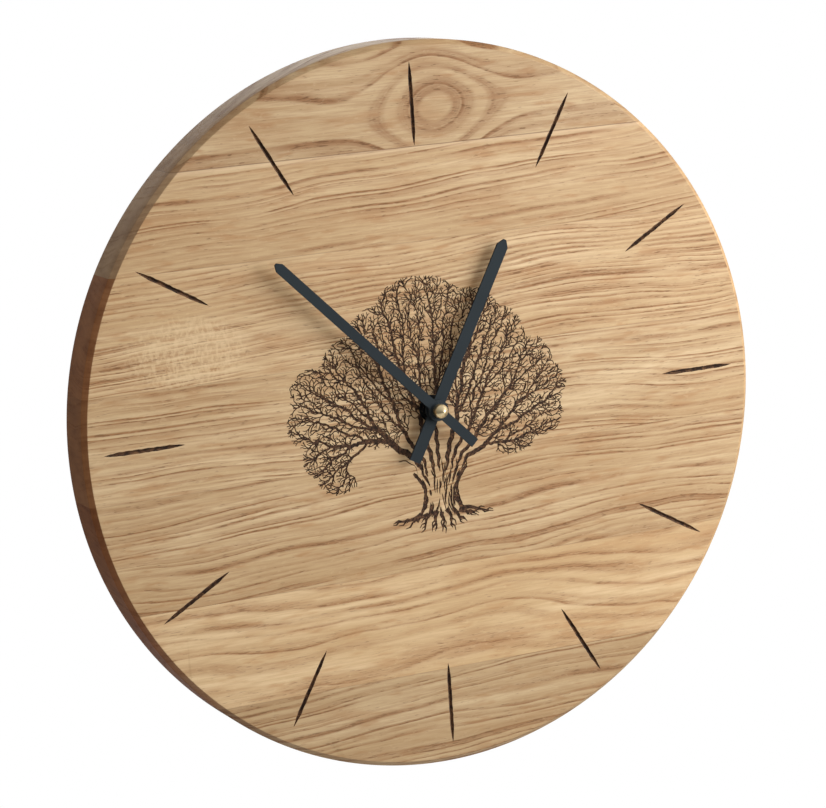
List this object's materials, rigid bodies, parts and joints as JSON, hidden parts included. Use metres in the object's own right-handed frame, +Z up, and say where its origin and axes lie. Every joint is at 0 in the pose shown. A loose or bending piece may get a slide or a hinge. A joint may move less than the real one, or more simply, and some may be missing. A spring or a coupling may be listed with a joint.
{
  "type": "round oak wall clock",
  "caption": "Round wall clock with an oak stave dial, burnt hour marks, two dark hands and a battery movement set into the back.",
  "frame": {"origin": "the point of the keyhole hanger that rests on the wall screw, in the plane of the back of the dial", "axes": "+Z up, +X to the right seen from the front, the dial faces -Y and the wall plane is y = 0"},
  "size_m": [0.3, 0.0324, 0.3],
  "materials": {
    "oak": "oiled",
    "hand_black": "matt powder coat",
    "brass": "polished",
    "case_black": "satin moulded",
    "cover_black": "satin moulded",
    "rubber": "matt",
    "black_steel": "blackened",
    "zinc": "zinc plated",
    "gear_white": "moulded acetal",
    "gear_brown": "moulded acetal",
    "magnet": "sintered magnet",
    "stator_steel": "stamped soft iron",
    "copper": "enamelled copper wire",
    "board_green": "solder mask",
    "chip_black": "epoxy",
    "spring_steel": "nickel plated",
    "battery_sleeve": "printed sleeve"
  },
  "bodies": {
    "clock_body": {"stave_top": "oak", "stave_upper": "oak", "stave_high": "oak", "stave_centre": "oak", "stave_low": "oak", "stave_lower": "oak", "stave_bottom": "oak", "hanger_plate": "zinc", "hanger_screw_lower": "zinc", "hanger_screw_upper": "zinc", "front_case": "case_black", "rear_cover": "cover_black", "train_plate": "gear_white", "rubber_washer": "rubber", "flat_washer": "black_steel", "hexagon_nut": "black_steel", "stator": "stator_steel", "coil_core": "stator_steel", "coil_bobbin": "cover_black", "coil_winding": "copper", "circuit_board": "board_green", "control_chip": "chip_black", "crystal_can": "spring_steel", "positive_contact": "spring_steel", "negative_contact": "spring_steel"},
    "minute_group": {"minute_cannon": "brass", "minute_hand": "hand_black", "cap_nut": "brass"},
    "hour_group": {"hour_wheel": "gear_white", "hour_hand": "hand_black"},
    "reversing_group": {"reversing_wheel": "gear_white"},
    "third_group": {"third_wheel": "gear_brown"},
    "seconds_group": {"seconds_wheel": "gear_white"},
    "intermediate_group": {"intermediate_wheel": "gear_brown"},
    "drive_group": {"drive_wheel": "gear_brown"},
    "rotor_group": {"rotor_pinion": "gear_white", "rotor_magnet": "magnet"},
    "knob_group": {"set_knob": "gear_white"},
    "battery_group": {"battery": "battery_sleeve", "battery_cap": "spring_steel"}
  },
  "joints": [
    {"name": "minute_spin", "type": "hinge", "parent": "clock_body", "child": "minute_group", "pos_m": [0, -0.02, -0.096], "axis": [0, 1, 0], "continuous": true},
    {"name": "hour_spin", "type": "hinge", "parent": "clock_body", "child": "hour_group", "pos_m": [0, -0.02, -0.096], "axis": [0, 1, 0], "continuous": true},
    {"name": "reversing_spin", "type": "hinge", "parent": "clock_body", "child": "reversing_group", "pos_m": [0.00862, -0.012, -0.09448], "axis": [0, 1, 0], "continuous": true},
    {"name": "knob_spin", "type": "hinge", "parent": "clock_body", "child": "knob_group", "pos_m": [0.01401, -0.008, -0.08806], "axis": [0, 1, 0], "continuous": true},
    {"name": "seconds_spin", "type": "hinge", "parent": "clock_body", "child": "seconds_group", "pos_m": [0, -0.008, -0.096], "axis": [0, 1, 0], "continuous": true},
    {"name": "rotor_spin", "type": "hinge", "parent": "clock_body", "child": "rotor_group", "pos_m": [0.00155, -0.004, -0.08406], "axis": [0, 1, 0], "continuous": true},
    {"name": "intermediate_spin", "type": "hinge", "parent": "clock_body", "child": "intermediate_group", "pos_m": [-0.00125, -0.005, -0.08891], "axis": [0, 1, 0], "continuous": true},
    {"name": "third_spin", "type": "hinge", "parent": "clock_body", "child": "third_group", "pos_m": [-0.00871, -0.009, -0.09446], "axis": [0, 1, 0], "continuous": true},
    {"name": "drive_spin", "type": "hinge", "parent": "clock_body", "child": "drive_group", "pos_m": [0, -0.0105, -0.096], "axis": [0, 1, 0], "continuous": true},
    {"name": "battery_slide", "type": "slide", "parent": "clock_body", "child": "battery_group", "axis": [0, 1, 0], "range_m": [0, 0.018]}
  ],
  "couplings": [
    {"joint": "hour_spin", "follows": "minute_spin", "ratio": 0.083333},
    {"joint": "reversing_spin", "follows": "minute_spin", "ratio": -0.33333},
    {"joint": "knob_spin", "follows": "minute_spin", "ratio": 1.2},
    {"joint": "rotor_spin", "follows": "seconds_spin", "ratio": 30},
    {"joint": "intermediate_spin", "follows": "seconds_spin", "ratio": -5},
    {"joint": "third_spin", "follows": "seconds_spin", "ratio": -0.13333},
    {"joint": "drive_spin", "follows": "seconds_spin", "ratio": 0.016667}
  ]
}
